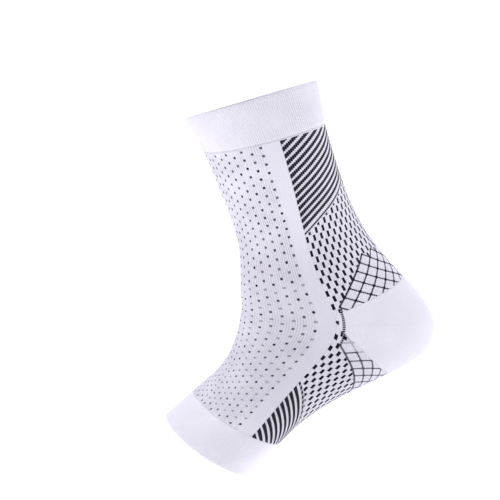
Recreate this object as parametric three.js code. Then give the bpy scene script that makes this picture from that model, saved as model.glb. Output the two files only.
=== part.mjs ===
// Knitted compression ankle sleeve, open at the leg and at the toes, with a heel pocket.
// Millimetres. The leg stands along +Z, the toes point to -Y and the sleeve is even about X = 0.
// The origin is the centre of the ankle that fills the sleeve.
import * as THREE from 'three';

// Reach of the worn sleeve from the ankle centre
const LEG_RISE = 99.6;
const TOE_REACH = 105.7;
const TOE_DROP = 95.4;
const HEEL_REACH = 67.2;
const LEG_WIDTH = 81;
const FOOT_WIDTH = 92;

// Bands, walls and clearances
const CUFF_HEIGHT = 21.9;
const TOE_BAND_LENGTH = 21.8;
const KNIT_WALL = 1.4;
const HEEL_WALL = 1.8;
const WELT_WALL = 2.2;
const PIECE_GAP = 0.3;
const HEEL_TIP = 1.0;

// Exponent of the rounded oval that each section is
const OVAL_POWER = 2.2;

// Sections from the cuff edge (row 0) to the toe edge (row 11), as shares of the sizes above.
// Lengths ahead of the ankle are shares of TOE_REACH, behind it of HEEL_REACH, above it of
// LEG_RISE and below it of TOE_DROP. across is a share of the width that the row names.
// panel is the share of the half girth, from the front line, that the front panel covers.
const COLUMNS = ['frontOut', 'frontUp', 'backOut', 'backUp', 'across', 'panel', 'width'];
const SECTIONS = [
  [0.434, 1.000, 0.421, 1.000, 1.00, 0.445, LEG_WIDTH],
  [0.377, 0.790, 0.388, 0.778, 1.00, 0.445, LEG_WIDTH],
  [0.349, 0.503, 0.423, 0.525, 0.86, 0.440, LEG_WIDTH],
  [0.347, 0.233, 0.492, 0.252, 0.69, 0.433, LEG_WIDTH],
  [0.390, 0.041, 0.646, -0.050, 0.665, 0.426, LEG_WIDTH],
  [0.422, -0.084, 0.882, -0.361, 0.605, 0.407, FOOT_WIDTH],
  [0.445, -0.158, 1.000, -0.636, 0.64, 0.388, FOOT_WIDTH],
  [0.477, -0.236, 0.789, -0.801, 0.68, 0.379, FOOT_WIDTH],
  [0.537, -0.345, 0.243, -0.814, 0.76, 0.395, FOOT_WIDTH],
  [0.650, -0.476, -0.219, -0.805, 0.89, 0.423, FOOT_WIDTH],
  [0.802, -0.571, -0.484, -0.868, 1.00, 0.437, FOOT_WIDTH],
  [1.000, -0.637, -0.695, -1.000, 0.935, 0.437, FOOT_WIDTH],
];

// Heel pocket: where its edges run, in section rows. Its pointed ends touch the front panel
// in row tip, open to the gore rows within the share gore of the back half girth, and then
// spread to the centre back line by rise rows upwards and fall rows downwards.
const HEEL = { tip: 5.77, goreTop: 5.40, goreLow: 6.12, gore: 0.035, rise: 0.76, fall: 1.58 };

// Mesh fineness
const AROUND = 56;
const FRONT_COLUMNS = 18;
const FRONT_ROWS = 32;
const BACK_COLUMNS = 12;
const COLUMN_CROWDING = 1.1;
const CALF_ROWS = 16;
const HEEL_ROWS = 10;
const ARCH_ROWS = 17;
const BAND_ROWS = 4;
const ROLL_STEPS = 3;
const RING_SAMPLES = 96;

const LAST_ROW = SECTIONS.length - 1;
const ROW_STEP = 0.01;
const SHARE_STEP = 0.002;

const mix = (from, to, part) => from + (to - from) * part;
const scaleOut = (share) => share * (share < 0 ? TOE_REACH : HEEL_REACH);
const scaleUp = (share) => share * (share < 0 ? TOE_DROP : LEG_RISE);

// The table in millimetres: front line, back line, half width and panel share of each row
const rings = SECTIONS.map((row) => {
  const of = Object.fromEntries(COLUMNS.map((name, column) => [name, row[column]]));
  return [
    scaleOut(-of.frontOut),
    scaleUp(of.frontUp),
    scaleOut(of.backOut),
    scaleUp(of.backUp),
    of.across * of.width / 2,
    of.panel,
  ];
});

// Slopes of the smooth curve through evenly spaced values, with free ends
function splineSlopes(values) {
  const count = values.length;
  const main = values.map((_, row) => (row === 0 || row === count - 1 ? 2 : 4));
  const right = values.map((_, row) => {
    const before = values[Math.max(row - 1, 0)];
    const after = values[Math.min(row + 1, count - 1)];
    return 3 * (after - before);
  });
  for (let row = 1; row < count; row += 1) {
    const factor = 1 / main[row - 1];
    main[row] -= factor;
    right[row] -= factor * right[row - 1];
  }
  const slopes = new Array(count).fill(0);
  for (let row = count - 1; row >= 0; row -= 1) {
    const next = row === count - 1 ? 0 : slopes[row + 1];
    slopes[row] = (right[row] - next) / main[row];
  }
  return slopes;
}

const tracks = rings[0].map((_, column) => {
  const values = rings.map((ring) => ring[column]);
  return { values, slopes: splineSlopes(values) };
});

function trackAt({ values, slopes }, row) {
  const start = Math.min(Math.max(Math.floor(row), 0), LAST_ROW - 1);
  const t = row - start;
  const [a, b] = [values[start], values[start + 1]];
  const [slopeA, slopeB] = [slopes[start], slopes[start + 1]];
  const bend = 3 * (b - a) - 2 * slopeA - slopeB;
  const twist = 2 * (a - b) + slopeA + slopeB;
  return a + t * (slopeA + t * (bend + t * twist));
}

const signedPower = (value) => Math.sign(value) * Math.abs(value) ** (2 / OVAL_POWER);

// One section's oval from the front line round the +X side to the back line, with the
// length run along it, so that points can be placed by their share of the half girth
const ringCache = new Map();
function ringAt(row) {
  if (ringCache.has(row)) return ringCache.get(row);
  const [frontY, frontZ, backY, backZ, halfWidth, panel] = tracks.map((track) => trackAt(track, row));
  const points = [];
  const lengths = [0];
  for (let sample = 0; sample <= RING_SAMPLES; sample += 1) {
    const angle = Math.PI * sample / RING_SAMPLES;
    const side = halfWidth * signedPower(Math.sin(angle));
    const ahead = (1 + signedPower(Math.cos(angle))) / 2;
    const y = backY + (frontY - backY) * ahead;
    const z = backZ + (frontZ - backZ) * ahead;
    points.push(new THREE.Vector3(side, y, z));
    if (sample > 0) lengths.push(lengths[sample - 1] + points[sample].distanceTo(points[sample - 1]));
  }
  const ring = { points, lengths, panel, halfGirth: lengths[RING_SAMPLES] };
  ringCache.set(row, ring);
  return ring;
}

// Outer surface at a row and at a share of the half girth: 0 is the front line, 1 the back
// line, and shares below 0 or above 1 lie on the -X side
function surface(row, share) {
  const ring = ringAt(row);
  const turned = share < 0 ? -share : share;
  const mirrored = share < 0 || turned > 1;
  const target = (turned > 1 ? 2 - turned : turned) * ring.halfGirth;
  let sample = ring.lengths.findIndex((length) => length >= target);
  sample = Math.min(Math.max(sample < 0 ? RING_SAMPLES : sample, 1), RING_SAMPLES);
  const span = ring.lengths[sample] - ring.lengths[sample - 1];
  const part = (target - ring.lengths[sample - 1]) / span;
  const point = ring.points[sample - 1].clone().lerp(ring.points[sample], part);
  if (mirrored) point.x = -point.x;
  return point;
}

function slopesAt(row, share) {
  const [rowA, rowB] = [Math.max(row - ROW_STEP, 0), Math.min(row + ROW_STEP, LAST_ROW)];
  const alongRow = surface(rowB, share).sub(surface(rowA, share)).divideScalar(rowB - rowA);
  const around = surface(row, share + SHARE_STEP).sub(surface(row, share - SHARE_STEP));
  return { alongRow, around: around.divideScalar(2 * SHARE_STEP) };
}

// A point of the wall: depth is how far it lies under the outer surface
function wallPoint(row, share, depth) {
  const { alongRow, around } = slopesAt(row, share);
  const outward = alongRow.cross(around).normalize();
  return surface(row, share).addScaledVector(outward, -depth);
}

const rowsPerMillimetre = (row, share) => 1 / slopesAt(row, share).alongRow.length();
const sharesPerMillimetre = (row, share) => 1 / slopesAt(row, share).around.length();

// The row that lies a given length along the front line from an end row
function rowFromEnd(endRow, length) {
  const direction = endRow === 0 ? 1 : -1;
  let [row, walked] = [endRow, 0];
  while (walked < length) {
    walked += surface(row, 0).distanceTo(surface(row + direction * ROW_STEP, 0));
    row += direction * ROW_STEP;
  }
  return row;
}

const CUFF_ROW = rowFromEnd(0, CUFF_HEIGHT);
const TOE_ROW = rowFromEnd(LAST_ROW, TOE_BAND_LENGTH);

// Edges of the heel pocket at a share of the back half girth, 0 at the front panel
function heelEdges(half) {
  if (half < HEEL.gore) {
    const opened = half / HEEL.gore;
    return { top: mix(HEEL.tip, HEEL.goreTop, opened), low: mix(HEEL.tip, HEEL.goreLow, opened) };
  }
  const left = 1 - (half - HEEL.gore) / (1 - HEEL.gore);
  return {
    top: HEEL.goreTop - HEEL.rise * (1 - left ** 2),
    low: HEEL.goreLow + HEEL.fall * (1 - left ** 3),
  };
}

// Rows to step back from a slanted heel edge so that the clearance is square to it
function edgeInset(half, edge, row, length) {
  const step = HEEL.gore / 4;
  const [before, after] = [Math.max(half - step, 0), Math.min(half + step, 1)];
  const ring = ringAt(row);
  const climb = (heelEdges(after)[edge] - heelEdges(before)[edge]) / rowsPerMillimetre(row, ring.panel);
  const run = (after - before) * (1 - ring.panel) * ring.halfGirth;
  const share = ring.panel + half * (1 - ring.panel);
  return length * rowsPerMillimetre(row, share) * Math.hypot(1, climb / run);
}

function meshFrom(name, corners, faces, colour) {
  const positions = corners.flatMap((corner) => [corner.x, corner.y, corner.z]);
  const geometry = new THREE.BufferGeometry();
  geometry.setAttribute('position', new THREE.Float32BufferAttribute(positions, 3));
  geometry.setIndex(faces.flat());
  geometry.computeVertexNormals();
  const cloth = new THREE.MeshStandardMaterial({ color: colour, roughness: 0.85, metalness: 0 });
  const mesh = new THREE.Mesh(geometry, cloth);
  mesh.name = name;
  return mesh;
}

// A wall over a grid of places: outer sheet, inner sheet and the four cut edges between them
function wallPatch(name, columns, rows, wall, colour, placeAt) {
  const corners = [];
  for (const depth of [0, wall]) {
    for (let row = 0; row <= rows; row += 1) {
      for (let column = 0; column <= columns; column += 1) {
        const place = placeAt(column / columns, row / rows);
        corners.push(wallPoint(place.row, place.share, depth));
      }
    }
  }
  const sheet = (rows + 1) * (columns + 1);
  const outer = (column, row) => row * (columns + 1) + column;
  const inner = (column, row) => sheet + outer(column, row);
  const faces = [];
  const quad = (a, b, c, d) => faces.push([a, b, c], [a, c, d]);
  for (let row = 0; row < rows; row += 1) {
    for (let column = 0; column < columns; column += 1) {
      quad(outer(column, row), outer(column, row + 1), outer(column + 1, row + 1), outer(column + 1, row));
      quad(inner(column, row), inner(column + 1, row), inner(column + 1, row + 1), inner(column, row + 1));
    }
    quad(outer(0, row), inner(0, row), inner(0, row + 1), outer(0, row + 1));
    quad(outer(columns, row), outer(columns, row + 1), inner(columns, row + 1), inner(columns, row));
  }
  for (let column = 0; column < columns; column += 1) {
    quad(outer(column, 0), outer(column + 1, 0), inner(column + 1, 0), inner(column, 0));
    quad(outer(column, rows), inner(column, rows), inner(column + 1, rows), outer(column + 1, rows));
  }
  return meshFrom(name, corners, faces, colour);
}

// A welt round an opening: its free edge is rolled round, its other edge meets the knit
function weltBand(name, freeRow, joinedRow, wall, colour) {
  const inwards = Math.sign(joinedRow - freeRow);
  const radius = wall / 2;
  const profile = [];
  for (let step = 0; step <= BAND_ROWS; step += 1) {
    profile.push({ part: step / BAND_ROWS, beyond: 0, depth: 0 });
  }
  for (let step = 1; step < ROLL_STEPS; step += 1) {
    const angle = Math.PI * step / ROLL_STEPS;
    profile.push({ part: 1, beyond: radius * Math.sin(angle), depth: radius * (1 - Math.cos(angle)) });
  }
  for (let step = BAND_ROWS; step >= 0; step -= 1) {
    profile.push({ part: step / BAND_ROWS, beyond: 0, depth: wall });
  }
  const corners = [];
  for (let column = 0; column < AROUND; column += 1) {
    const share = 2 * column / AROUND;
    const joined = joinedRow - inwards * (PIECE_GAP / 2) * rowsPerMillimetre(joinedRow, share);
    const rollScale = inwards * rowsPerMillimetre(freeRow, share);
    for (const { part, beyond, depth } of profile) {
      const row = mix(joined, freeRow + radius * rollScale, part) - beyond * rollScale;
      corners.push(wallPoint(row, share, depth));
    }
  }
  const loop = profile.length;
  const faces = [];
  for (let column = 0; column < AROUND; column += 1) {
    const next = (column + 1) % AROUND;
    for (let place = 0; place < loop; place += 1) {
      const after = (place + 1) % loop;
      const quad = [column * loop + place, column * loop + after, next * loop + after, next * loop + place];
      const turned = inwards > 0 ? quad.toReversed() : quad;
      faces.push([turned[0], turned[1], turned[2]], [turned[0], turned[2], turned[3]]);
    }
  }
  return meshFrom(name, corners, faces, colour);
}

function frontPanel() {
  return wallPatch('front_panel', FRONT_COLUMNS, FRONT_ROWS, KNIT_WALL, 0xeeecf6, (across, down) => {
    const inset = PIECE_GAP / 2;
    const top = CUFF_ROW + inset * rowsPerMillimetre(CUFF_ROW, 0);
    const low = TOE_ROW - inset * rowsPerMillimetre(TOE_ROW, 0);
    const row = mix(top, low, down);
    const { panel } = ringAt(row);
    const edge = panel - inset * sharesPerMillimetre(row, panel);
    return { row, share: mix(-edge, edge, across) };
  });
}

// Shares of the back half girth that the back pieces' columns stand on, closer at the gore
const halfShares = [0, HEEL.gore];
for (let step = 1; step < BACK_COLUMNS; step += 1) {
  halfShares.push(mix(HEEL.gore, 1, (step / (BACK_COLUMNS - 1)) ** COLUMN_CROWDING));
}

// A patch of the back half: edges gives its first and last row at a share of the half girth
function backPatch(name, rows, wall, colour, edges) {
  const columns = 2 * BACK_COLUMNS;
  return wallPatch(name, columns, rows, wall, colour, (across, down) => {
    const column = Math.round(across * columns);
    const half = halfShares[Math.min(column, columns - column)];
    const [first, last] = edges(half);
    const row = mix(first, last, down);
    const { panel } = ringAt(row);
    const inset = PIECE_GAP / 2 * sharesPerMillimetre(row, panel);
    const share = Math.max(panel + half * (1 - panel), panel + inset);
    return { row, share: column <= BACK_COLUMNS ? share : 2 - share };
  });
}

// Rows where the heel cup and its neighbour end at one heel edge. away is -1 at the top edge
// and 1 at the low one, and at the gore the two edges part to leave a blunt tip.
function heelSide(half, edge, away) {
  const row = heelEdges(half)[edge];
  const parting = half === 0 ? HEEL_TIP / 2 * rowsPerMillimetre(row, ringAt(row).panel) : 0;
  const inset = edgeInset(half, edge, row, PIECE_GAP / 2);
  const seam = row + away * parting;
  return { outside: seam + away * inset, inside: seam - away * inset };
}

function calfPanel() {
  const first = CUFF_ROW + PIECE_GAP / 2 * rowsPerMillimetre(CUFF_ROW, 1);
  return backPatch('calf_panel', CALF_ROWS, KNIT_WALL, 0xb9b9cc, (half) => [
    first,
    heelSide(half, 'top', -1).outside,
  ]);
}

function heelCup() {
  return backPatch('heel_cup', HEEL_ROWS, HEEL_WALL, 0xf4f2fa, (half) => [
    heelSide(half, 'top', -1).inside,
    heelSide(half, 'low', 1).inside,
  ]);
}

function archPanel() {
  const last = TOE_ROW - PIECE_GAP / 2 * rowsPerMillimetre(TOE_ROW, 1);
  return backPatch('arch_panel', ARCH_ROWS, KNIT_WALL, 0xaaaac0, (half) => [
    heelSide(half, 'low', 1).outside,
    last,
  ]);
}

const sleeve = new THREE.Group();
sleeve.name = 'ankle_sleeve';
sleeve.add(weltBand('top_cuff', 0, CUFF_ROW, WELT_WALL, 0xf0eef8));
sleeve.add(frontPanel());
sleeve.add(calfPanel());
sleeve.add(heelCup());
sleeve.add(archPanel());
sleeve.add(weltBand('toe_band', LAST_ROW, TOE_ROW, WELT_WALL, 0xf0eef8));

export default sleeve;
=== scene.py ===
"""A knitted compression ankle sleeve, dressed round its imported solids.

Metres. The leg stands along +Z, the toes point to -Y and the sleeve is even about X = 0. Places on
the cloth are given by a section row, from 0 at the cuff edge to 11 at the toe edge, and by a share
of the half girth, from 0 on the front line to 1 on the back line.
"""
import math

import bpy
import numpy as np
from mathutils import Matrix, Vector


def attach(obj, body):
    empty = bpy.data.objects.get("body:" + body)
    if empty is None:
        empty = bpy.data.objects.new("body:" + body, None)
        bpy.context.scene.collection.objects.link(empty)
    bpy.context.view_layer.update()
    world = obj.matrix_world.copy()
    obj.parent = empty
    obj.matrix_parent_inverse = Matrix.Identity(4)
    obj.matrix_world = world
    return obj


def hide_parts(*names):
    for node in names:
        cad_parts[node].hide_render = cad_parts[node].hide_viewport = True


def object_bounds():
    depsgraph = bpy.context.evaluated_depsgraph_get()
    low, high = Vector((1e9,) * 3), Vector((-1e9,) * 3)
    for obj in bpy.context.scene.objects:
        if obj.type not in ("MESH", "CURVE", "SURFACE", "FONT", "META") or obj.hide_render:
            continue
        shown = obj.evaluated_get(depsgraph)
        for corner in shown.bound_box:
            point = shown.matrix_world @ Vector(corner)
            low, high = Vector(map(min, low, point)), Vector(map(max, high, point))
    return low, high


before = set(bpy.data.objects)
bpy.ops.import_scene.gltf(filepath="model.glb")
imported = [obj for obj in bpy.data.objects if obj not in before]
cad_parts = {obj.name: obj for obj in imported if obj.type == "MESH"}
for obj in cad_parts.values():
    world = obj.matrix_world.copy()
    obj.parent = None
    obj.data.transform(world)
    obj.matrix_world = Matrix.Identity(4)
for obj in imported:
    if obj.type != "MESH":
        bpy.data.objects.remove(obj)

cad_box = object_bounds()
MM = 0.001

# Reach of the worn sleeve from the ankle centre, as in the solids
LEG_RISE = 0.0996
TOE_REACH = 0.1057
TOE_DROP = 0.0954
HEEL_REACH = 0.0672
LEG_WIDTH = 0.081
FOOT_WIDTH = 0.092
CUFF_HEIGHT = 0.0219
TOE_BAND_LENGTH = 0.0218
KNIT_WALL = 0.0014
HEEL_WALL = 0.0018
WELT_WALL = 0.0022
OVAL_POWER = 2.2

# Sections from the cuff edge to the toe edge. Lengths ahead of the ankle are shares of TOE_REACH,
# behind it of HEEL_REACH, above it of LEG_RISE and below it of TOE_DROP. across is a share of
# width, and panel is the share of the half girth that the front panel covers. dots counts the
# rows of dots from the ankle's narrowest section, down the outermost column.
COLUMNS = ("front_out", "front_up", "back_out", "back_up", "across", "panel", "dots", "width")
SECTIONS = (
    (0.434, 1.000, 0.421, 1.000, 1.00, 0.445, -17.6, LEG_WIDTH),
    (0.377, 0.790, 0.388, 0.778, 1.00, 0.445, -12.0, LEG_WIDTH),
    (0.349, 0.503, 0.423, 0.525, 0.86, 0.440, -6.0, LEG_WIDTH),
    (0.347, 0.233, 0.492, 0.252, 0.69, 0.433, -0.25, LEG_WIDTH),
    (0.390, 0.041, 0.646, -0.050, 0.665, 0.426, 3.65, LEG_WIDTH),
    (0.422, -0.084, 0.882, -0.361, 0.605, 0.407, 6.75, FOOT_WIDTH),
    (0.445, -0.158, 1.000, -0.636, 0.64, 0.388, 8.95, FOOT_WIDTH),
    (0.477, -0.236, 0.789, -0.801, 0.68, 0.379, 11.4, FOOT_WIDTH),
    (0.537, -0.345, 0.243, -0.814, 0.76, 0.395, 14.75, FOOT_WIDTH),
    (0.650, -0.476, -0.219, -0.805, 0.89, 0.423, 19.4, FOOT_WIDTH),
    (0.802, -0.571, -0.484, -0.868, 1.00, 0.437, 24.3, FOOT_WIDTH),
    (1.000, -0.637, -0.695, -1.000, 0.935, 0.437, 28.8, FOOT_WIDTH),
)
LAST_ROW = len(SECTIONS) - 1

# Heel pocket, in section rows and in parts of the back's half girth, as in the solids
HEEL_TIP_ROW = 5.77
GORE_TOP_ROW = 5.40
GORE_LOW_ROW = 6.12
GORE_SHARE = 0.035
HEEL_RISE = 0.76
HEEL_FALL = 1.58
HEEL_MIDDLE_ROW = 5.9
# Narrowest part that the pocket's tip is drawn from, so that no face there is a sliver
BLUNT_SHARE = 0.004

# Knitting gauge. Back wales are counted from the front panel's edge to the centre back
FRONT_WALES = 37.5
BACK_WALES = 54.7
EDGE_WALES = 0.7
HEEL_SPREAD = 0.4
CUFF_WALES = 96
TOE_WALES = 84
CALF_COURSE = 8.2 / 12 * MM
ARCH_COURSE = 7.0 / 12 * MM
ARCH_SLANT = 9 * MM
HEEL_COURSE = 0.6 * MM
BAND_COURSE = 0.62 * MM

# Rib heights, and the part of a section row by which the leg opening is tilted sideways
FRONT_RIB = 0.26 * MM
BACK_RIB = 0.14 * MM
CUFF_RIB = 0.16 * MM
TOE_RIB = 0.05 * MM
CUFF_CANT = 0.055
# The front ribs are fullest at the instep and keep this part of their height away from it
INSTEP_ROW = 4.5
INSTEP_SPREAD = 2.2
RIB_KEPT = 0.65

# Patterns, in wales, courses and stripes. DOTS_ABOVE rows of dots lie over the ankle's narrowest
# section, and from INSTEP_COURSE every other dot is fainter
DOT_WALES = 4
DOT_COURSES = 8
DOT_COLUMNS = 8
DOTS_ABOVE = 12
DOT_SIZE = 0.76
DOT_WIDE = 1.3
DOT_TALL = 0.62
INSTEP_COURSE = 116
# Painted shade greys the instep from INSTEP_COURSE on, fading out by FOOT_COURSE, and the plain strip
# from wale PLAIN_FROM
FOOT_COURSE = 262
PLAIN_FROM = 31
NEVER_PLAIN = 1000.0
DASH_WALES = 2
DASH_COURSES = 12
DASH_HALF_WIDTH = 0.68
DASH_HALF_LENGTH = 2.6
CALF_DASH_PHASE = -0.268
ARCH_DASH_PHASE = -0.5
STRIPE_PITCH = 3.85 * MM
STRIPE_STEP = 0.963
CALF_STRIPES = 14
CALF_STRIPE_PHASE = -0.44
CALF_STRIPE_WIDTH = 0.3
CALF_STRIPE_TAPER = -0.0014
ARCH_STRIPES = 10
ARCH_STRIPE_WIDTH = 0.29
ARCH_STRIPE_TAPER = -0.003
ARCH_STRIPE_PHASE = -0.444
# Lead of the arch stripes in millimetres, for a whole half girth and for its square
ARCH_LEAN = 43.0
ARCH_CURVE = 100.0
NET_WALES = 4
NET_COURSES = 6
NET_BEADS = 6
NET_LINE = 0.087
NET_THREAD = 0.06
NET_KNOT = 0.115
CALF_NET = {"Rise": 25.475, "Fall": 16.35, "First": -2.0, "Last": 3.0}
ARCH_NET = {"Rise": 20.825, "Fall": 15.875, "First": -5.0, "Last": 0.0}
GORE_WALE = 2.6
KNOT_COURSE = 130.5
LAST_CALF_COURSE = 156.4
LAST_ARCH_COURSE = 134.8

# Width and length of each piece laid flat
FRONT_FLAT = (0.095, 0.200)
CALF_FLAT = (0.130, 0.106)
HEEL_FLAT = (0.160, 0.056)
ARCH_FLAT = (0.125, 0.090)

# Mesh fineness. The back panels' rows are shared out over these lengths, and the front panel's over
# its middle line times FRONT_SPARE
SAMPLES_PER_WALE = 4
ROW_PITCH = 0.9 * MM
CALF_LENGTH = 0.106
HEEL_LENGTH = 0.056
ARCH_LENGTH = 0.086
FRONT_SPARE = 1.1
INNER_COLUMNS = 4
INNER_ROWS = 2
ROLL_STEPS = 8
SEAM_GAP = 0.01 * MM
SEAM_ROWS = 0.0005
RING_SAMPLES = 128
TABLE_ROWS = 1101
TABLE_SHARES = 401

# Bake chart: a panel's two faces beside or over each other, then a narrow strip for each rim
BAKE_LEFT = 0.01
BAKE_LOW = 0.02
BAKE_NEXT = 0.49
BAKE_LONG = 0.94
BAKE_BESIDE = 0.46
BAKE_OVER = 0.455
RIM_START = 0.972
RIM_PITCH = 0.007
RIM_WIDTH = 0.004
# A welt's chart: one half of the ring over the other
WELT_BAKE_WIDTH = 0.98
WELT_BAKE_HEIGHT = 0.47
WELT_BAKE_NEXT = 0.5


def scaled_out(share):
    return share * np.where(share < 0, TOE_REACH, HEEL_REACH)


def scaled_up(share):
    return share * np.where(share < 0, TOE_DROP, LEG_RISE)


def smooth_tracks(values, rows):
    """Natural cubic curves through evenly spaced values, read at the given rows."""
    count = len(values)
    beside = np.ones(count - 1)
    system = np.diag(np.full(count, 4.0)) + np.diag(beside, 1) + np.diag(beside, -1)
    system[0, 0] = system[-1, -1] = 2
    ahead = np.concatenate([values[1:], values[-1:]])
    behind = np.concatenate([values[:1], values[:-1]])
    slopes = np.linalg.solve(system, 3 * (ahead - behind))
    start = np.clip(np.floor(rows).astype(int), 0, count - 2)
    t = (rows - start)[:, None]
    a, b = values[start], values[start + 1]
    slope_a, slope_b = slopes[start], slopes[start + 1]
    bend = 3 * (b - a) - 2 * slope_a - slope_b
    twist = 2 * (a - b) + slope_a + slope_b
    return a + t * (slope_a + t * (bend + t * twist))


def signed_power(value):
    return np.sign(value) * np.abs(value) ** (2 / OVAL_POWER)


# Fine tables of the cloth's outer surface: place, outward direction and half girth
table_rows = np.linspace(0, LAST_ROW, TABLE_ROWS)
table_shares = np.linspace(0, 1, TABLE_SHARES)


def section_tables():
    section = dict(zip(COLUMNS, np.array(SECTIONS).T))
    values = np.stack([
        scaled_out(-section["front_out"]),
        scaled_up(section["front_up"]),
        scaled_out(section["back_out"]),
        scaled_up(section["back_up"]),
        section["across"] * section["width"] / 2,
        section["panel"],
        section["dots"],
    ], axis=1)
    front_y, front_z, back_y, back_z, half_width, panel, dots = smooth_tracks(values, table_rows).T
    angle = np.linspace(0, math.pi, RING_SAMPLES + 1)
    ahead = (1 + signed_power(np.cos(angle))) / 2
    points = np.stack([
        half_width[:, None] * signed_power(np.sin(angle)),
        back_y[:, None] + (front_y - back_y)[:, None] * ahead,
        back_z[:, None] + (front_z - back_z)[:, None] * ahead,
    ], axis=2)
    steps = np.linalg.norm(np.diff(points, axis=1), axis=2)
    lengths = np.concatenate([np.zeros((TABLE_ROWS, 1)), np.cumsum(steps, axis=1)], axis=1)
    even = np.empty((TABLE_ROWS, TABLE_SHARES, 3))
    for row in range(TABLE_ROWS):
        for axis in range(3):
            at = table_shares * lengths[row, -1]
            even[row, :, axis] = np.interp(at, lengths[row], points[row, :, axis])
    outward = np.cross(np.gradient(even, axis=0), np.gradient(even, axis=1))
    outward[:, 0, 0] = outward[:, -1, 0] = 0
    outward /= np.linalg.norm(outward, axis=2, keepdims=True)
    return even, outward, lengths[:, -1], panel, dots


cloth_places, cloth_outward, half_girths, panel_shares, dot_counts = section_tables()


def panel_at(row):
    return np.interp(row, table_rows, panel_shares)


def read_table(table, across, down):
    """Values between a table's entries, at fractions of entries across and down."""
    row = np.clip(np.floor(down).astype(int), 0, table.shape[0] - 2)
    column = np.clip(np.floor(across).astype(int), 0, table.shape[1] - 2)
    v, u = down - row, across - column
    if table.ndim == 3:
        v, u = v[..., None], u[..., None]
    above = table[row, column] * (1 - u) + table[row, column + 1] * u
    below = table[row + 1, column] * (1 - u) + table[row + 1, column + 1] * u
    return above * (1 - v) + below * v


def cloth_at(row, share):
    """Place and outward direction on the outer surface."""
    turned = np.abs(share)
    mirrored = (share < 0) | (turned > 1)
    across = np.where(turned > 1, 2 - turned, turned) * (TABLE_SHARES - 1)
    down = row / LAST_ROW * (TABLE_ROWS - 1)
    place = read_table(cloth_places, across, down)
    outward = read_table(cloth_outward, across, down)
    outward /= np.linalg.norm(outward, axis=-1, keepdims=True)
    place[mirrored, 0] *= -1
    outward[mirrored, 0] *= -1
    return place, outward


def slack(row, share):
    """Small unevenness of worn cloth, alike for all the pieces so that their edges meet."""
    turn = math.pi * share
    slow = np.sin(1.9 * row + 0.7) * np.sin(3 * turn + 0.4 * row)
    quick = np.sin(5.3 * row + 2 * np.sin(2 * turn)) * np.cos(7 * turn + 1.1 * row)
    return 0.22 * MM * slow + 0.09 * MM * quick


def wale_lengths(part, front):
    """Length down the cloth at each table row, on the line that keeps its part of the girth."""
    share = part * panel_shares if front else panel_shares + part * (1 - panel_shares)
    place, _ = cloth_at(table_rows, share)
    steps = np.linalg.norm(np.diff(place, axis=0), axis=1)
    return np.concatenate([[0], np.cumsum(steps)])


back_lengths = np.stack([wale_lengths(share, False) for share in table_shares], axis=1)
front_line = wale_lengths(0, True)
CUFF_ROW = float(np.interp(CUFF_HEIGHT, front_line, table_rows))
TOE_ROW = float(np.interp(front_line[-1] - TOE_BAND_LENGTH, front_line, table_rows))


def back_length(row, half):
    return read_table(back_lengths, half * (TABLE_SHARES - 1), row / LAST_ROW * (TABLE_ROWS - 1))


def heel_edges(half):
    """Section rows of the heel pocket's upper and lower edge."""
    opened = np.clip(half, BLUNT_SHARE, GORE_SHARE) / GORE_SHARE
    left = 1 - np.clip((half - GORE_SHARE) / (1 - GORE_SHARE), 0, 1)
    top = HEEL_TIP_ROW + (GORE_TOP_ROW - HEEL_TIP_ROW) * opened
    low = HEEL_TIP_ROW + (GORE_LOW_ROW - HEEL_TIP_ROW) * opened
    top -= HEEL_RISE * (1 - left ** 2)
    low += HEEL_FALL * (1 - left ** 3)
    return top, low


# ---- meshes ----

def quads_of(rows, columns, first=0, closed=False):
    """Corner numbers of a grid's faces, turned so that the grid's front faces outwards."""
    row, column = np.meshgrid(np.arange(rows - 1), np.arange(columns - (not closed)), indexing="ij")
    after = (column + 1) % columns
    corners = [row * columns + column, (row + 1) * columns + column]
    corners += [(row + 1) * columns + after, row * columns + after]
    return np.stack(corners, axis=-1).reshape(-1, 4) + first


def new_piece(name, points, faces, smooth, knit, bake):
    mesh = bpy.data.meshes.new(name)
    mesh.from_pydata(points, [], faces)
    mesh.update()
    mesh.polygons.foreach_set("use_smooth", smooth)
    corners = np.empty(len(mesh.loops), int)
    mesh.loops.foreach_get("vertex_index", corners)
    chart = mesh.uv_layers.new(name="Knit")
    chart.data.foreach_set("uv", knit[corners].astype(np.float32).ravel())
    unfolded = mesh.uv_layers.new(name="OFBake")
    unfolded.data.foreach_set("uv", np.asarray(bake, np.float32).ravel())
    piece = bpy.data.objects.new(name, mesh)
    bpy.context.scene.collection.objects.link(piece)
    return piece


def from_ends(count, fade):
    """0 at both ends of a row of samples, 1 from the fade-th sample on."""
    place = np.arange(count)
    return np.clip(np.minimum(place, place[::-1]) / fade, 0, 1)


def grid_size(count, step):
    """The number of grid lines that leaves every step-th line on the last one."""
    return math.ceil(count / step) * step + 1


def ribs(wale, height):
    return height * np.cos(2 * math.pi * wale) / 2


def unfold(rows, columns, width, length):
    """Bake places of a panel's two faces, side by side or one over the other."""
    tall = length > width
    if tall:
        scale = min(BAKE_BESIDE / width, BAKE_LONG / length)
        beside = np.array([BAKE_NEXT, 0.0])
    else:
        scale = min(BAKE_LONG / width, BAKE_OVER / length)
        beside = np.array([0.0, BAKE_NEXT])
    across, down = np.meshgrid(np.linspace(0, width, columns), np.linspace(0, length, rows))
    face = np.stack([across, down], axis=-1) * scale + [BAKE_LEFT, BAKE_LOW]
    return face, face + beside


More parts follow.
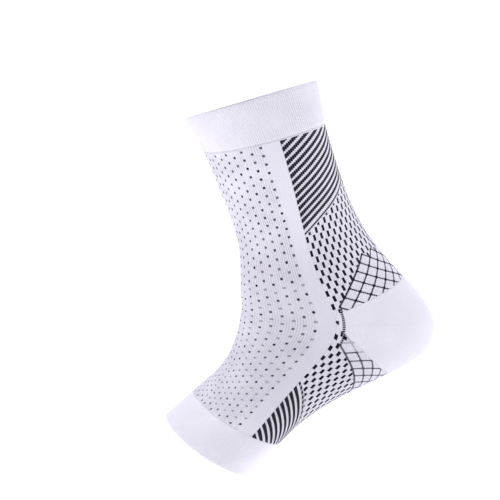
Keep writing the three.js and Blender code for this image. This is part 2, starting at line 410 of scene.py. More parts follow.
def knit_panel(name, row, share, knit, wall, relief, flat):
    """A wall of cloth over a grid of places, with a coarser grid inside."""
    place, outward = cloth_at(row, share)
    place = place + outward * slack(row, share)[..., None]
    level = from_ends(row.shape[0], 2)[:, None] * from_ends(row.shape[1], SAMPLES_PER_WALE)
    outer = place + outward * (relief * level)[..., None]
    inside = place[::INNER_ROWS, ::INNER_COLUMNS] - outward[::INNER_ROWS, ::INNER_COLUMNS] * wall
    rows, columns = row.shape
    inner_rows, inner_columns = inside.shape[:2]
    first = rows * columns
    faces = quads_of(rows, columns).tolist()
    faces += quads_of(inner_rows, inner_columns, first)[:, ::-1].tolist()
    smooth = [True] * len(faces)
    outer_bake, inner_bake = unfold(rows, columns, *flat)
    inner_bake = inner_bake[::INNER_ROWS, ::INNER_COLUMNS]
    bake_places = np.concatenate([outer_bake.reshape(-1, 2), inner_bake.reshape(-1, 2)])
    bake = bake_places[np.array(faces)].reshape(-1, 2).tolist()
    outer_of = np.arange(first).reshape(rows, columns)
    inner_of = np.arange(first, first + inner_rows * inner_columns).reshape(inner_rows, inner_columns)
    rims = (
        (outer_of[0, ::-1], inner_of[0, ::-1], INNER_COLUMNS),
        (outer_of[-1], inner_of[-1], INNER_COLUMNS),
        (outer_of[:, 0], inner_of[:, 0], INNER_ROWS),
        (outer_of[::-1, -1], inner_of[::-1, -1], INNER_ROWS),
    )
    for number, (outer_edge, inner_edge, step) in enumerate(rims):
        strip = RIM_START + RIM_PITCH * number
        along = np.linspace(BAKE_LEFT, 1 - BAKE_LEFT, len(outer_edge))
        for part in range(len(inner_edge) - 1):
            run = slice(part * step, (part + 1) * step + 1)
            faces.append([*outer_edge[run][::-1], inner_edge[part], inner_edge[part + 1]])
            smooth.append(False)
            bake += [[u, strip] for u in along[run][::-1]]
            bake += [[along[corner * step], strip + RIM_WIDTH] for corner in (part, part + 1)]
    points = np.concatenate([outer.reshape(-1, 3), inside.reshape(-1, 3)])
    inner_knit = knit[::INNER_ROWS, ::INNER_COLUMNS]
    chart = np.concatenate([knit.reshape(-1, 2), inner_knit.reshape(-1, 2)])
    return new_piece(name, points, faces, smooth, chart, bake)


def front_panel():
    columns = grid_size(2 * FRONT_WALES * SAMPLES_PER_WALE, INNER_COLUMNS)
    length = front_line[-1] - CUFF_HEIGHT - TOE_BAND_LENGTH
    rows = grid_size(length * FRONT_SPARE / ROW_PITCH, INNER_ROWS)
    across, down = np.meshgrid(np.linspace(-1, 1, columns), np.linspace(0, 1, rows))
    row = CUFF_ROW + (TOE_ROW - CUFF_ROW) * down
    girth = np.interp(row, table_rows, half_girths)
    share = across * (panel_at(row) - SEAM_GAP / 2 / girth)
    wale = np.abs(across) * FRONT_WALES
    course = (np.interp(row, table_rows, dot_counts) + DOTS_ABOVE) * DOT_COURSES
    knit = np.stack([wale, course], axis=-1)
    plain = np.clip((wale - PLAIN_FROM) / 2, 0, 1)
    at_instep = np.exp(-((row - INSTEP_ROW) / INSTEP_SPREAD) ** 2)
    gathered = RIB_KEPT + (1 - RIB_KEPT) * at_instep
    relief = ribs(wale, FRONT_RIB) * gathered * (1 - plain)
    return knit_panel("front_panel_knit", row, share, knit, KNIT_WALL, relief, FRONT_FLAT)


def back_grid(rows, first_row, last_row):
    """Rows, shares and parts of the back half between two edges, from one side to the other."""
    columns = grid_size(BACK_WALES * SAMPLES_PER_WALE, INNER_COLUMNS)
    half = np.linspace(0, 1, columns)
    half = np.concatenate([half, half[-2::-1]])
    side = np.arange(len(half)) < columns
    first, last = first_row(half), last_row(half)
    down = np.linspace(0, 1, rows)[:, None]
    row = first + (last - first) * down
    panel = panel_at(row)
    girth = np.interp(row, table_rows, half_girths)
    share = np.maximum(panel + half * (1 - panel), panel + SEAM_GAP / 2 / girth)
    half = np.broadcast_to(half, row.shape)
    return row, np.where(side, share, 2 - share), half


def back_wales(half):
    return half * BACK_WALES - EDGE_WALES


def calf_panel():
    rows = grid_size(CALF_LENGTH / ROW_PITCH, INNER_ROWS)
    row, share, half = back_grid(
        rows,
        lambda half: np.full(half.shape, CUFF_ROW),
        lambda half: heel_edges(half)[0],
    )
    cuff = back_length(np.full(row.shape, CUFF_ROW), half)
    course = (back_length(row, half) - cuff) / CALF_COURSE
    wale = back_wales(half)
    knit = np.stack([wale, course], axis=-1)
    relief = ribs(wale, BACK_RIB)
    return knit_panel("calf_panel_knit", row, share, knit, KNIT_WALL, relief, CALF_FLAT)


def heel_cup():
    rows = grid_size(HEEL_LENGTH / ROW_PITCH, INNER_ROWS)
    row, share, half = back_grid(
        rows,
        lambda half: heel_edges(half)[0] + SEAM_ROWS,
        lambda half: heel_edges(half)[1] - SEAM_ROWS,
    )
    middle = back_length(np.full(row.shape, HEEL_MIDDLE_ROW), half)
    course = (back_length(row, half) - middle) / HEEL_COURSE
    wale = back_wales(half) * (1 + HEEL_SPREAD * half)
    knit = np.stack([wale, course], axis=-1)
    level = np.zeros(row.shape)
    return knit_panel("heel_cup_knit", row, share, knit, HEEL_WALL, level, HEEL_FLAT)


def arch_panel():
    rows = grid_size(ARCH_LENGTH / ROW_PITCH, INNER_ROWS)
    row, share, half = back_grid(
        rows,
        lambda half: heel_edges(half)[1],
        lambda half: np.full(half.shape, TOE_ROW),
    )
    toe = back_length(np.full(row.shape, TOE_ROW), half)
    course = (toe - back_length(row, half) + ARCH_SLANT * half) / ARCH_COURSE
    wale = back_wales(half)
    knit = np.stack([wale, course], axis=-1)
    relief = ribs(wale, BACK_RIB)
    return knit_panel("arch_panel_knit", row, share, knit, KNIT_WALL, relief, ARCH_FLAT)


def welt_band(name, free_row, joined_row, wales, rib_height, cant):
    """A double welt round an opening, with a rolled free edge."""
    columns = 2 * wales * SAMPLES_PER_WALE
    share = np.linspace(0, 2, columns, endpoint=False)
    radius = WELT_WALL / 2
    rows = round(CUFF_HEIGHT / ROW_PITCH)
    inwards = np.sign(joined_row - free_row)
    free_at, joined_at = back_length(np.array([free_row, joined_row]), np.zeros(2))
    rows_per_metre = abs((joined_row - free_row) / (joined_at - free_at))
    roll = np.linspace(0, math.pi, ROLL_STEPS + 1)[1:-1]
    part = np.concatenate([np.linspace(0, 1, rows), np.ones(len(roll)), np.linspace(1, 0, rows)])
    beyond = np.concatenate([np.zeros(rows), np.sin(roll), np.zeros(rows)]) * radius
    depth = np.concatenate([np.zeros(rows), radius * (1 - np.cos(roll)), np.full(rows, WELT_WALL)])
    rolled_row = free_row + inwards * radius * rows_per_metre
    seam_row = joined_row - inwards * SEAM_GAP / 2 * rows_per_metre
    row = seam_row + (rolled_row - seam_row) * part - inwards * beyond * rows_per_metre
    row, share_grid = np.meshgrid(row, share, indexing="ij")
    row = row - cant * np.sin(math.pi * share_grid) * part[:, None]
    place, outward = cloth_at(row, share_grid)
    wale = np.where(share_grid > 1, 2 - share_grid, share_grid) * wales
    fade = (np.clip(1 - depth / WELT_WALL, 0, 1) * from_ends(len(part), 2))[:, None]
    lift = ribs(wale, rib_height) * fade - depth[:, None] + slack(row, share_grid)
    points = place + outward * lift[..., None]
    along = np.concatenate([[0], np.cumsum(np.linalg.norm(np.diff(points[:, 0], axis=0), axis=1))])
    course = np.broadcast_to((along / BAND_COURSE)[:, None], wale.shape)
    profile = len(part)
    faces = quads_of(profile, columns, closed=True)
    end = np.arange(columns)
    after = (end + 1) % columns
    last = (profile - 1) * columns
    closing = np.stack([last + end, end, after, last + after], axis=-1)
    faces = np.concatenate([faces, closing])
    if inwards > 0:
        faces = faces[:, ::-1]
    smooth = [True] * (len(faces) - columns) + [False] * columns
    knit = np.stack([wale, course], axis=-1).reshape(-1, 2)
    column_of, row_of = faces % columns, faces // columns
    first_column = column_of.min(axis=1, keepdims=True)
    wrapped = (first_column == 0) & (column_of.max(axis=1, keepdims=True) == columns - 1)
    column_of = np.where(wrapped & (column_of == 0), columns, column_of)
    row_of[-columns:] = np.where(row_of[-columns:] == 0, profile, row_of[-columns:])
    far_side = column_of.max(axis=1, keepdims=True) > columns // 2
    u = (column_of - np.where(far_side, columns // 2, 0)) / (columns // 2)
    v = WELT_BAKE_HEIGHT * row_of / profile + WELT_BAKE_NEXT * far_side
    bake = np.stack([BAKE_LEFT + WELT_BAKE_WIDTH * u, BAKE_LEFT + v], axis=-1)
    return new_piece(name, points.reshape(-1, 3), faces.tolist(), smooth, knit, bake)


# ---- materials ----

WHITE_YARN = (0.83, 0.808, 0.915, 1)
# Colour of the painted shade in the grooves between the wales; the patterns' greying and the random
# yarn tone mix towards it too
PAINTED_GROOVE_SHADE = (0.52, 0.50, 0.62, 1)
DARK_YARN = (0.006, 0.005, 0.014, 1)
# How far the dark yarn and the fleck stand up, as parts of the stitch depth
DARK_LIFT = 0.35
FLECK_LIFT = 0.35
# Blur of an edge between whole numbers, where nothing is meant to fade
SHARP = 0.01


class Sums:
    """Adds math nodes to a node tree and joins them up."""

    def __init__(self, tree):
        self.tree = tree

    def node(self, kind, **settings):
        node = self.tree.nodes.new(kind)
        for name, value in settings.items():
            setattr(node, name, value)
        return node

    def join(self, value, socket):
        if isinstance(value, bpy.types.NodeSocket):
            self.tree.links.new(value, socket)
        else:
            socket.default_value = value

    def math(self, operation, *values, clamp=False):
        node = self.node("ShaderNodeMath", operation=operation, use_clamp=clamp)
        for value, socket in zip(values, node.inputs):
            self.join(value, socket)
        return node.outputs[0]

    def add(self, a, b):
        return self.math("ADD", a, b)

    def less(self, a, b):
        return self.math("SUBTRACT", a, b)

    def times(self, a, b):
        return self.math("MULTIPLY", a, b)

    def both(self, *masks):
        result = masks[0]
        for mask in masks[1:]:
            result = self.times(result, mask)
        return result

    def either(self, *masks):
        result = masks[0]
        for mask in masks[1:]:
            result = self.math("MAXIMUM", result, mask)
        return result

    def other(self, mask):
        return self.less(1.0, mask)

    def off_whole(self, value):
        """Distance from the nearest whole number."""
        return self.math("PINGPONG", value, 0.5)

    def whole(self, value):
        return self.math("FLOOR", self.add(value, 0.5))

    def odd(self, value):
        """1 for an odd whole number and 0 for an even one."""
        return self.math("PINGPONG", value, 1.0)

    def under(self, value, edge, blur):
        """1 well under the edge, 0 well over it."""
        return self.math("MULTIPLY_ADD", self.less(edge, value), 1 / blur, 0.5, clamp=True)

    def over(self, value, edge, blur):
        return self.math("MULTIPLY_ADD", self.less(value, edge), 1 / blur, 0.5, clamp=True)

    def near(self, value, middle, reach, blur):
        """1 within reach of the middle, 0 well away from it."""
        return self.under(self.math("ABSOLUTE", self.less(value, middle)), reach, blur)

    def beaded(self, line, along, size, blur, gain, thread):
        """A line of yarn: thread all along, and darker by gain at each whole number."""
        bead = self.under(self.off_whole(along), size, blur)
        return self.both(line, self.math("MULTIPLY_ADD", bead, gain, thread))

    def placed(self, tree, **inputs):
        """The outputs of a node group that is given these inputs."""
        node = self.node("ShaderNodeGroup", node_tree=tree)
        for label, value in inputs.items():
            self.join(value, node.inputs[label])
        return node.outputs

    def blend(self, mask, a, b):
        """Colour a where the mask is 0 and colour b where it is 1."""
        node = self.node("ShaderNodeMix", data_type="RGBA")
        self.join(mask, node.inputs["Factor"])
        self.join(a, node.inputs["A"])
        self.join(b, node.inputs["B"])
        return next(output for output in node.outputs if output.type == "RGBA")


def group(name, inputs, outputs):
    """A new node group, its sums, and its input and output sockets by name."""
    tree = bpy.data.node_groups.new(name, "ShaderNodeTree")
    for label in inputs:
        tree.interface.new_socket(label, in_out="INPUT", socket_type="NodeSocketFloat")
    for label in outputs:
        tree.interface.new_socket(label, in_out="OUTPUT", socket_type="NodeSocketFloat")
    sums = Sums(tree)
    return tree, sums, sums.node("NodeGroupInput").outputs, sums.node("NodeGroupOutput").inputs


def stitch_group():
    """Plain knitting: two slanting legs to each stitch, with a groove between the wales."""
    tree, sums, given, out = group("knit stitches", ["Wale", "Course"], ["Height", "Groove"])
    off_crest = sums.off_whole(given["Wale"])
    leg = sums.off_whole(sums.math("MULTIPLY_ADD", off_crest, 1.3, given["Course"]))
    round_leg = sums.math("SINE", sums.times(off_crest, 2 * math.pi))
    thread = sums.times(sums.math("COSINE", sums.times(leg, 2 * math.pi)), round_leg)
    crest = sums.math("COSINE", sums.times(off_crest, 2 * math.pi))
    sums.join(sums.math("MULTIPLY_ADD", thread, 0.4, sums.times(crest, 0.5)), out["Height"])
    # Groove marks the white between the wales, where the material paints shade
    sums.join(sums.over(off_crest, 0.34, 0.24), out["Groove"])
    return tree


def dash_group():
    """Upright dashes in columns, with neighbouring columns half a repeat apart."""
    tree, sums, given, out = group("knit dashes", ["Wale", "Course", "Phase"], ["Mask"])
    column = sums.times(given["Wale"], 1 / DASH_WALES)
    shift = sums.times(sums.odd(sums.whole(column)), 0.5)
    along = sums.math("MULTIPLY_ADD", given["Course"], 1 / DASH_COURSES, given["Phase"])
    repeat = sums.add(along, shift)
    off_column = sums.times(sums.off_whole(column), DASH_WALES)
    off_middle = sums.times(sums.off_whole(repeat), DASH_COURSES)
    wide = sums.under(off_column, DASH_HALF_WIDTH, blur=0.14)
    tall = sums.under(off_middle, DASH_HALF_LENGTH, blur=0.5)
    sums.join(sums.both(wide, tall), out["Mask"])
    return tree


def net_group():
    """Dotted lines that cross as a net, kept to whole meshes, and where the net lies.

    Rise and Fall place the net's first corner. First and Last are the rows of meshes it has.
    Inside is where meshes lie, and Beyond is that and all that follows in the same direction.
    """
    inputs = ["Wale", "Course", "Rise", "Fall", "First", "Last"]
    tree, sums, given, out = group("knit net", inputs, ["Mask", "Lines", "Inside", "Beyond"])
    x = sums.times(given["Wale"], 1 / NET_WALES)
    y = sums.times(given["Course"], 1 / NET_COURSES)
    rise = sums.times(sums.less(sums.add(x, y), given["Rise"]), 0.5)
    fall = sums.times(sums.less(sums.less(y, x), given["Fall"]), 0.5)
    lines = []
    for crossing, running in ((rise, fall), (fall, rise)):
        bead = sums.times(sums.off_whole(sums.times(running, NET_BEADS)), 1 / NET_BEADS)
        off_line = sums.math("POWER", sums.off_whole(crossing), 2.0)
        away = sums.math("SQRT", sums.add(sums.times(bead, bead), off_line))
        beads = sums.under(away, NET_LINE, blur=0.035)
        thread = sums.times(sums.under(sums.off_whole(crossing), NET_THREAD, blur=0.03), 0.4)
        lines.append(sums.either(beads, thread))
    off_crossing = sums.either(sums.off_whole(rise), sums.off_whole(fall))
    knots = sums.under(off_crossing, NET_KNOT, blur=0.04)
    late = [sums.math("FLOOR", sums.add(value, NET_LINE)) for value in (rise, fall)]
    early = [sums.math("FLOOR", sums.less(value, NET_LINE)) for value in (rise, fall)]
    past_gore = sums.over(given["Wale"], GORE_WALE - 0.5, blur=SHARP)
    right = sums.both(sums.over(late[0], -0.5, blur=SHARP), past_gore)
    border = sums.near(rise, 0.0, reach=0.1, blur=0.03)
    on_border = sums.times(fall, NET_BEADS)
    border_line = sums.beaded(border, on_border, size=0.34, blur=0.12, gain=0.5, thread=0.45)
    edge = sums.near(given["Wale"], GORE_WALE, reach=0.5, blur=0.2)
    on_edge = sums.times(given["Course"], 0.5)
    edge_line = sums.beaded(edge, on_edge, size=0.34, blur=0.14, gain=0.6, thread=0.4)
    begun = sums.over(sums.add(*late), sums.less(given["First"], 0.5), blur=SHARP)
    going = sums.under(sums.add(*early), sums.add(given["Last"], 0.5), blur=SHARP)
    inside = sums.both(right, begun, going)
    crossing_lines = sums.either(*lines, knots)
    meshes = sums.both(crossing_lines, inside)
    borders = sums.both(sums.either(border_line, edge_line), right, begun)
    sums.join(sums.either(meshes, borders), out["Mask"])
    sums.join(crossing_lines, out["Lines"])
    sums.join(inside, out["Inside"])
    sums.join(sums.both(right, begun), out["Beyond"])
    return tree


def fleck_group():
    """Unevenness of the yarn: a soft broad mottle and a fine fleck."""
    tree = bpy.data.node_groups.new("yarn fleck", "ShaderNodeTree")
    tree.interface.new_socket("Place", in_out="INPUT", socket_type="NodeSocketVector")
    tree.interface.new_socket("Mottle", in_out="OUTPUT", socket_type="NodeSocketFloat")
    tree.interface.new_socket("Fleck", in_out="OUTPUT", socket_type="NodeSocketFloat")
    sums = Sums(tree)
    given = sums.node("NodeGroupInput").outputs
    out = sums.node("NodeGroupOutput").inputs
    for label, scale, detail in (("Mottle", 60, 2), ("Fleck", 1400, 1)):
        noise = sums.node("ShaderNodeTexNoise")
        noise.inputs["Scale"].default_value = scale
        noise.inputs["Detail"].default_value = detail
        sums.join(given["Place"], noise.inputs["Vector"])
        sums.join(noise.outputs["Fac"], out[label])
    return tree


stitches = stitch_group()
dashes = dash_group()
net = net_group()
fleck = fleck_group()


def knit_material(name, pattern, stitch_depth, groove_shade, plain_from=NEVER_PLAIN):
    """White knit on the piece's own stitch chart, with dark yarn where the pattern says.

    A pattern gives the mask of the dark yarn, or 0.0 for none, and the greying of the white: random
    yarn tone, and in the dotted pattern also painted shade.
    The grooves between the wales get painted shade, as strong as groove_shade.
    """
    material = bpy.data.materials.new(name)
    material.use_nodes = True
    tree = material.node_tree
    tree.nodes.clear()
    sums = Sums(tree)
    chart = sums.node("ShaderNodeUVMap", uv_map="Knit")
    split = sums.node("ShaderNodeSeparateXYZ")
    tree.links.new(chart.outputs["UV"], split.inputs[0])
    wale, course = split.outputs["X"], split.outputs["Y"]
    coordinates = sums.node("ShaderNodeTexCoord")
    uneven = sums.placed(fleck, Place=coordinates.outputs["Object"])
    knit = sums.placed(stitches, Wale=wale, Course=course)
    dark, shade = pattern(sums, wale, course, uneven)
    # Painted shade in the grooves between the wales, patchy with the mottle and left out where the
    # knit is plain; with the pattern's greying and the mottle's random tone it mixes the white towards
    # the groove shade colour
    patchy = sums.math("MULTIPLY_ADD", uneven["Mottle"], 2.4, -0.5, clamp=True)
    ribbed = sums.math("MULTIPLY_ADD", sums.over(wale, plain_from, 3.0), -0.85, 1.0)
    groove = sums.both(knit["Groove"], groove_shade, patchy, ribbed)
    tone = sums.times(uneven["Mottle"], 0.22)
    greyed = sums.math("ADD", sums.either(groove, shade), sums.less(tone, 0.08), clamp=True)
    ground = sums.blend(greyed, WHITE_YARN, PAINTED_GROOVE_SHADE)
    colour = sums.blend(dark, ground, DARK_YARN)
    shader = sums.node("ShaderNodeBsdfPrincipled")
    sums.join(colour, shader.inputs["Base Color"])
    rough = sums.math("MULTIPLY_ADD", uneven["Fleck"], 0.2, 0.72)
    sums.join(rough, shader.inputs["Roughness"])
    shader.inputs["Specular IOR Level"].default_value = 0.1
    shader.inputs["Sheen Weight"].default_value = 0.03
    shader.inputs["Sheen Roughness"].default_value = 0.5
    height = sums.math("MULTIPLY_ADD", dark, DARK_LIFT, sums.times(knit["Height"], ribbed))
    height = sums.math("MULTIPLY_ADD", uneven["Fleck"], FLECK_LIFT, height)
    bump = sums.node("ShaderNodeBump")
    bump.inputs["Strength"].default_value = 1.0
    bump.inputs["Distance"].default_value = stitch_depth
    sums.join(height, bump.inputs["Height"])
    tree.links.new(bump.outputs["Normal"], shader.inputs["Normal"])
    surface = sums.node("ShaderNodeOutputMaterial")
    tree.links.new(shader.outputs["BSDF"], surface.inputs["Surface"])
    return material


def plain_pattern(sums, wale, course, uneven):
    """No dark yarn, and every other course a little greyer."""
    return 0.0, sums.times(sums.odd(sums.whole(course)), 0.06)


def dotted_pattern(sums, wale, course, uneven):
    """Small dots on every fourth wale, in half-drop columns, fainter by turns over the instep, with
    painted shade greying the instep and the plain strip at the panel's edge.
    """
    column = sums.math("MULTIPLY_ADD", wale, 1 / DOT_WALES, -0.5)
    number = sums.whole(column)
    repeat = sums.add(sums.times(course, 1 / DOT_COURSES), sums.times(sums.odd(number), 0.5))
    turn = sums.odd(sums.whole(repeat))
    instep = sums.over(course, INSTEP_COURSE, blur=30)
    weak = sums.both(turn, instep)
    across = sums.times(sums.off_whole(column), DOT_WALES * DOT_WIDE)
    along = sums.times(sums.off_whole(repeat), DOT_COURSES * DOT_TALL)
    across = sums.times(across, sums.math("MULTIPLY_ADD", weak, -0.35, 1.0))
    away = sums.math("SQRT", sums.add(sums.times(across, across), sums.times(along, along)))
    size = sums.math("MULTIPLY_ADD", weak, -0.12, DOT_SIZE)
    dot = sums.under(away, size, blur=0.3)
    in_columns = sums.under(number, DOT_COLUMNS - 0.5, blur=SHARP)
    kept = sums.both(in_columns, sums.over(course, 1.5, blur=SHARP))
    chance = sums.node("ShaderNodeTexWhiteNoise", noise_dimensions="2D")
    pair = sums.node("ShaderNodeCombineXYZ")
    sums.join(number, pair.inputs["X"])
    sums.join(sums.whole(repeat), pair.inputs["Y"])
    sums.join(pair.outputs["Vector"], chance.inputs["Vector"])
    strength = sums.math("MULTIPLY_ADD", chance.outputs["Value"], 0.25, 0.8, clamp=True)
    strength = sums.times(strength, sums.math("MULTIPLY_ADD", weak, -0.42, 1.0))
    # Painted shade: the instep greyer, fading out towards the foot, and the plain strip by the panel's
    # edge greyer too; the fleck adds random yarn tone
    grey = sums.both(instep, sums.under(course, FOOT_COURSE, blur=60), 0.16)
    grey = sums.math("MULTIPLY_ADD", sums.over(wale, PLAIN_FROM, 3.0), 0.14, grey)
    shade = sums.add(grey, sums.times(uneven["Fleck"], 0.12))
    return sums.both(dot, kept, strength), shade


def carried_yarn(sums, wale, course, uneven):
    """The dark yarn that runs behind the white stitches, showing as faint slanting greys."""
    slant = sums.off_whole(sums.times(sums.add(wale, course), 0.5))
    grey = sums.over(slant, 0.3, 0.3)
    return sums.math("MULTIPLY_ADD", grey, 0.3, sums.times(uneven["Fleck"], 0.16))


def stripe_lines(sums, wale, number, width, taper):
    """Stripes on whole numbers, combed by the wales and broadest next to the front panel."""
    tapered = sums.math("MULTIPLY_ADD", wale, taper, width)
    blunt = sums.math("MULTIPLY_ADD", sums.under(wale, 2.2, 2.0), 0.04, tapered)
    combed = sums.math("MULTIPLY_ADD", sums.over(sums.off_whole(wale), 0.42, 0.16), -0.16, 1.0)
    return sums.both(sums.under(sums.off_whole(number), blunt, 0.07), combed)


def striped_pattern(sums, wale, course, uneven):
    """Leg sides: stepped slanting stripes, then dashes, then a net over the back of the ankle."""
    stepped = sums.math("MULTIPLY_ADD", sums.whole(wale), STRIPE_STEP, course)
    number = sums.math("MULTIPLY_ADD", stepped, CALF_COURSE / STRIPE_PITCH, CALF_STRIPE_PHASE)
    stripe = stripe_lines(sums, wale, number, CALF_STRIPE_WIDTH, CALF_STRIPE_TAPER)
    not_closing = sums.under(number, CALF_STRIPES - 0.5, blur=0.02)
    within = sums.both(not_closing, sums.over(course, 1.4, blur=0.3))
    closing_line = sums.near(number, CALF_STRIPES, reach=0.15, blur=0.08)
    meshes = sums.placed(net, Wale=wale, Course=course, **CALF_NET)
    strokes = sums.placed(dashes, Wale=wale, Course=course, Phase=CALF_DASH_PHASE)
    below = sums.over(number, CALF_STRIPES + 0.35, 0.05)
    clear = sums.both(sums.other(meshes["Beyond"]), sums.under(course, LAST_CALF_COURSE, 0.4))
    drawn = sums.both(strokes["Mask"], below, clear)
    dark = sums.either(sums.both(stripe, within), closing_line, drawn, meshes["Mask"])
    return dark, carried_yarn(sums, wale, course, uneven)


def arch_pattern(sums, wale, course, uneven):
    """Foot sides and sole: curved stripes by the toes, then dashes, then a net under the heel."""
    half = sums.math("MULTIPLY_ADD", wale, 1 / BACK_WALES, EDGE_WALES / BACK_WALES)
    lead = sums.times(half, sums.math("MULTIPLY_ADD", half, ARCH_CURVE, ARCH_LEAN))
    reach = sums.math("MULTIPLY_ADD", course, ARCH_COURSE / MM, lead)
    number = sums.math("MULTIPLY_ADD", reach, MM / STRIPE_PITCH, ARCH_STRIPE_PHASE)
    stripe = stripe_lines(sums, wale, number, ARCH_STRIPE_WIDTH, ARCH_STRIPE_TAPER)
    not_closing = sums.under(number, ARCH_STRIPES - 0.5, blur=0.02)
    within = sums.both(not_closing, sums.over(number, -0.4, blur=0.02))
    closing = sums.near(number, ARCH_STRIPES, reach=0.2, blur=0.08)
    on_closing = sums.times(wale, 0.5)
    closing_line = sums.beaded(closing, on_closing, size=0.3, blur=0.12, gain=0.55, thread=0.45)
    straight = sums.less(course, sums.times(half, ARCH_SLANT / ARCH_COURSE))
    meshes = sums.placed(net, Wale=wale, Course=straight, **ARCH_NET)
    strokes = sums.placed(dashes, Wale=wale, Course=course, Phase=ARCH_DASH_PHASE)
    below = sums.over(number, ARCH_STRIPES + 0.35, 0.05)
    clear = sums.both(sums.other(meshes["Beyond"]), sums.under(course, LAST_ARCH_COURSE, 0.4))
    drawn = sums.both(strokes["Mask"], below, clear)
    above = sums.both(sums.other(meshes["Inside"]), meshes["Beyond"])
    near_gore = sums.near(wale, GORE_WALE + 0.6, reach=0.8, blur=0.2)
    knot = sums.both(near_gore, sums.near(course, KNOT_COURSE, reach=1.8, blur=0.6))
    faint = sums.both(meshes["Lines"], above, 0.4)
    nets = sums.either(sums.times(meshes["Mask"], 0.92), faint)
    dark = sums.either(sums.both(stripe, within), closing_line, drawn, nets, knot)
    shade = sums.math("MULTIPLY_ADD", above, 0.05, carried_yarn(sums, wale, course, uneven))
    return dark, shade


def heel_pattern(sums, wale, course, uneven):
    """Plain, with a faint slanting mesh, a fainter line where the pocket turns and a dark chain."""
    slant = sums.off_whole(sums.times(sums.add(wale, course), 0.5))
    counter = sums.off_whole(sums.times(sums.less(wale, course), 0.5))
    mesh = sums.either(sums.under(slant, 0.12, 0.1), sums.under(counter, 0.12, 0.1))
    turn = sums.both(sums.near(course, 0.0, reach=0.7, blur=0.5), sums.under(wale, 50, blur=30))
    shade = sums.math("MULTIPLY_ADD", mesh, 0.18, sums.times(turn, 0.06))
    gore = sums.near(wale, GORE_WALE - 0.3, reach=0.55, blur=0.2)
    on_gore = sums.times(course, 0.5)
    chain = sums.beaded(gore, on_gore, size=0.3, blur=0.14, gain=0.65, thread=0.35)
    in_corner = sums.under(wale, 0.5, blur=0.2)
    tip = sums.both(in_corner, sums.near(course, -2.0, reach=1.9, blur=0.6))
    return sums.either(chain, tip), shade


# ---- the sleeve ----


def finish_piece(piece, material, node):
    piece.data.materials.append(material)
    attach(piece, "root")
    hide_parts(node)


def build_sleeve():
    welt = knit_material(
        "welt knit", plain_pattern, stitch_depth=0.10 * MM, groove_shade=0.6,
    )
    cuff = welt_band("top_cuff_knit", 0, CUFF_ROW, CUFF_WALES, CUFF_RIB, CUFF_CANT)
    finish_piece(cuff, welt, "top_cuff")
    smooth_welt = knit_material(
        "smooth welt knit", plain_pattern, stitch_depth=0.08 * MM, groove_shade=0.2,
    )
    toe = welt_band("toe_band_knit", LAST_ROW, TOE_ROW, TOE_WALES, TOE_RIB, 0)
    finish_piece(toe, smooth_welt, "toe_band")
    dotted = knit_material(
        "dotted knit", dotted_pattern, stitch_depth=0.12 * MM, groove_shade=1.0, plain_from=PLAIN_FROM,
    )
    finish_piece(front_panel(), dotted, "front_panel")
    striped = knit_material(
        "striped knit", striped_pattern, stitch_depth=0.12 * MM, groove_shade=0.4,
    )
    finish_piece(calf_panel(), striped, "calf_panel")
    plain = knit_material(
        "heel knit", heel_pattern, stitch_depth=0.10 * MM, groove_shade=0.12,
    )
    finish_piece(heel_cup(), plain, "heel_cup")
    arch = knit_material(
        "arch knit", arch_pattern, stitch_depth=0.12 * MM, groove_shade=0.4,
    )
    finish_piece(arch_panel(), arch, "arch_panel")


# ---- camera, floor and light ----

CAMERA_AZIMUTH = math.radians(72.99)
CAMERA_HEIGHT = math.radians(12.6)
CAMERA_ROLL = math.radians(-16.0)
CAMERA_PLACE = Vector((0.4161, -0.1595, 0.1168))
CAMERA_LENS = 56.88
SENSOR = 36
WORLD_LIGHT = 0.58
PAPER_LIGHT = 0.8
LEFT_LIGHT = 3.2
RIGHT_LIGHT = 6.6
TOP_LIGHT = 2.4
PAPER_SIZE = 8
FLOOR_GAP = 0.002
BACKDROP_AWAY = 2.5


def camera_axes():
    """Right, up and back directions of the camera."""
    back = Vector((
        math.cos(CAMERA_HEIGHT) * math.sin(CAMERA_AZIMUTH),
        -math.cos(CAMERA_HEIGHT) * math.cos(CAMERA_AZIMUTH),
        math.sin(CAMERA_HEIGHT),
    ))
    level = (-back).cross(Vector((0, 0, 1))).normalized()
    upright = level.cross(-back)
    right = math.cos(CAMERA_ROLL) * level + math.sin(CAMERA_ROLL) * upright
    up = math.cos(CAMERA_ROLL) * upright - math.sin(CAMERA_ROLL) * level
    return right, up, back


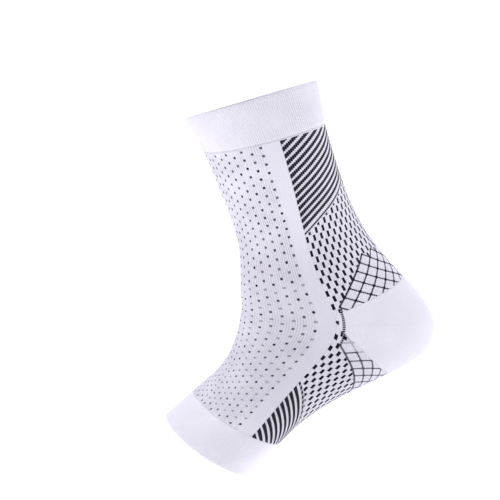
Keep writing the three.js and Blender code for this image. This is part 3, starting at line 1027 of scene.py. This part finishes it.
def add_camera():
    data = bpy.data.cameras.new("camera")
    data.lens = CAMERA_LENS
    data.sensor_width = SENSOR
    data.clip_start = 0.01
    camera = bpy.data.objects.new("camera", data)
    turn = Matrix(camera_axes()).transposed().to_4x4()
    camera.matrix_world = Matrix.Translation(CAMERA_PLACE) @ turn
    bpy.context.scene.collection.objects.link(camera)
    bpy.context.scene.camera = camera


def add_soft_light(name, place, size, power):
    """A square area light that faces the ankle centre."""
    data = bpy.data.lights.new(name, "AREA")
    data.shape = "SQUARE"
    data.size = size
    data.energy = power
    lamp = bpy.data.objects.new(name, data)
    lamp.location = place
    towards = Vector((0, 0, 0)) - place
    lamp.rotation_euler = towards.to_track_quat("-Z", "Y").to_euler()
    bpy.context.scene.collection.objects.link(lamp)


def add_studio():
    world = bpy.data.worlds.new("white studio")
    world.use_nodes = True
    world.node_tree.nodes["Background"].inputs["Color"].default_value = (1, 1, 1, 1)
    world.node_tree.nodes["Background"].inputs["Strength"].default_value = WORLD_LIGHT
    bpy.context.scene.world = world
    white = bpy.data.materials.new("white studio paper")
    white.use_nodes = True
    shader = white.node_tree.nodes["Principled BSDF"]
    shader.inputs["Base Color"].default_value = (0.6, 0.6, 0.6, 1)
    shader.inputs["Roughness"].default_value = 1.0
    shader.inputs["Emission Color"].default_value = (1, 1, 1, 1)
    shader.inputs["Emission Strength"].default_value = PAPER_LIGHT
    right, up, back = camera_axes()
    floor_place = (0, 0, cad_box[0].z - FLOOR_GAP)
    wall_turn = back.to_track_quat("Z", "Y").to_euler()
    papers = (("floor", floor_place, (0, 0, 0)), ("backdrop", -back * BACKDROP_AWAY, wall_turn))
    for name, place, turn in papers:
        bpy.ops.mesh.primitive_plane_add(size=PAPER_SIZE, location=place, rotation=turn)
        paper = bpy.context.object
        paper.name = name
        paper.data.materials.append(white)
    add_soft_light("left light", -right * 0.9 + up * 0.25 + back * 0.1, 0.9, LEFT_LIGHT)
    add_soft_light("right light", right * 0.9 + up * 0.25 - back * 0.3, 0.8, RIGHT_LIGHT)
    add_soft_light("top light", Vector((0, 0, 0.9)), 0.7, TOP_LIGHT)


bpy.ops.object.select_all(action="DESELECT")
add_camera()
add_studio()
build_sleeve()
bpy.context.scene.view_settings.view_transform = "Standard"
